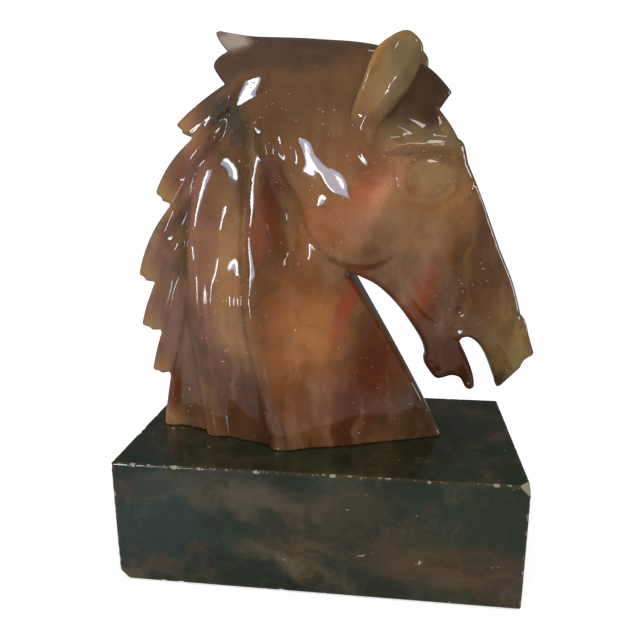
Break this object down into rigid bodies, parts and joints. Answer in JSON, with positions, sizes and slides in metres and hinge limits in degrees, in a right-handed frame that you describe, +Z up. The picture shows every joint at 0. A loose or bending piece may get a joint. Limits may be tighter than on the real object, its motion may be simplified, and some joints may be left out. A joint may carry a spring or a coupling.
{
  "type": "horse head sculpture",
  "caption": "Carved and polished onyx horse's head with a windswept mane, standing on a rectangular stone block.",
  "frame": {"origin": "centre of the plinth's underside", "axes": "+X where the horse's nose points, +Z up, -Y out of the side that the picture shows"},
  "size_m": [0.2078, 0.106, 0.2683],
  "materials": {
    "head_onyx": "polished, clouded brown onyx",
    "plinth_stone": "polished, dark green clouded with brown"
  },
  "bodies": {
    "root": {"horse_head": "head_onyx", "plinth": "plinth_stone"}
  },
  "joints": []
}
